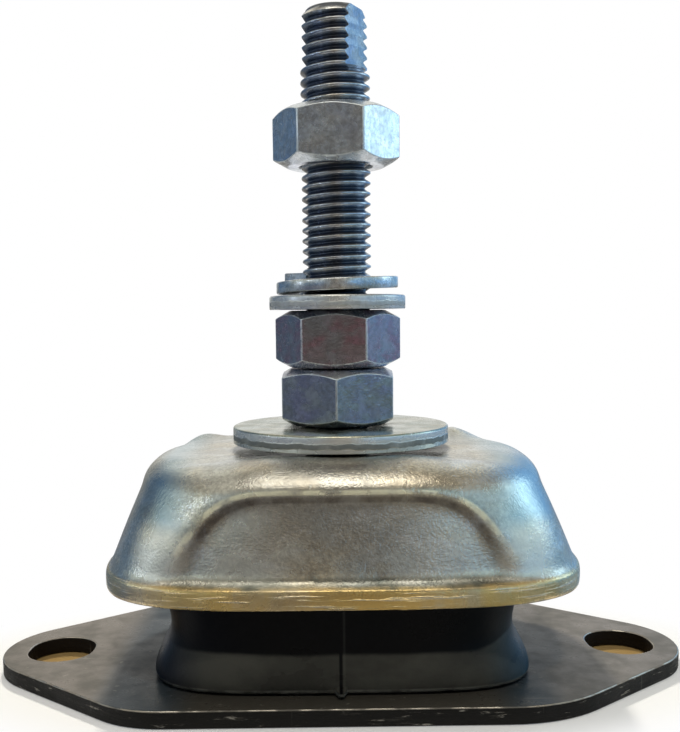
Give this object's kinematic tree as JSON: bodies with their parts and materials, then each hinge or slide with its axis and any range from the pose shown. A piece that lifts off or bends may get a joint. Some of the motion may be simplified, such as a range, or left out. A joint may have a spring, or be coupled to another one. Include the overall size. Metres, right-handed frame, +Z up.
{
  "type": "flexible engine mount",
  "caption": "Flexible engine mount: steel foot with bolt slots, bonded rubber spring, pressed steel cap and threaded stud with nuts and washers for height adjustment.",
  "frame": {"origin": "on the stud's axis, at the underside of the foot", "axes": "+Z up along the stud, +X along the foot's length, -Y towards the side seen in the picture"},
  "size_m": [0.12, 0.06, 0.1128],
  "materials": {
    "foot_steel": "dark, thin coating, satin, worn to bright steel on its edges",
    "rubber": "satin moulded black rubber",
    "cap_zinc": "bright zinc plate on a drawn pressing, warm grey",
    "washer_zinc": "bright zinc plate with a bluish tint",
    "nut_zinc": "bright zinc plate with bluish and purple tints",
    "stud_zinc": "zinc plated thread",
    "boss_steel": "plain turned steel, hidden in the rubber"
  },
  "bodies": {
    "base": {"base_plate": "foot_steel", "rubber_body": "rubber"},
    "sprung_top": {"cap": "cap_zinc", "threaded_boss": "boss_steel", "large_washer": "washer_zinc", "stud": "stud_zinc", "lock_nut": "nut_zinc"},
    "adjusting_washers": {"plain_washer": "washer_zinc", "spring_washer": "washer_zinc"},
    "adjusting_nut": {"adjusting_nut": "nut_zinc"},
    "clamp_nut": {"clamp_nut": "nut_zinc"}
  },
  "joints": [
    {"name": "deflection", "type": "slide", "parent": "base", "child": "sprung_top", "axis": [0, 0, 1], "range_m": [-0.005, 0.0015], "stiffness_N_per_m": 120000, "deforming": ["rubber_body"]},
    {"name": "adjusting_travel", "type": "slide", "parent": "sprung_top", "child": "adjusting_washers", "axis": [0, 0, 1], "range_m": [0, 0.008]},
    {"name": "adjusting_turn", "type": "hinge", "parent": "adjusting_washers", "child": "adjusting_nut", "pos_m": [0, 0, 0.053], "axis": [0, 0, 1], "range_deg": [0, 1646]},
    {"name": "clamp_travel", "type": "slide", "parent": "sprung_top", "child": "clamp_nut", "axis": [0, 0, 1], "range_m": [-0.008, 0.015]}
  ],
  "couplings": [
    {"joint": "adjusting_turn", "follows": "adjusting_travel", "rad_per_m": 3590.4}
  ]
}
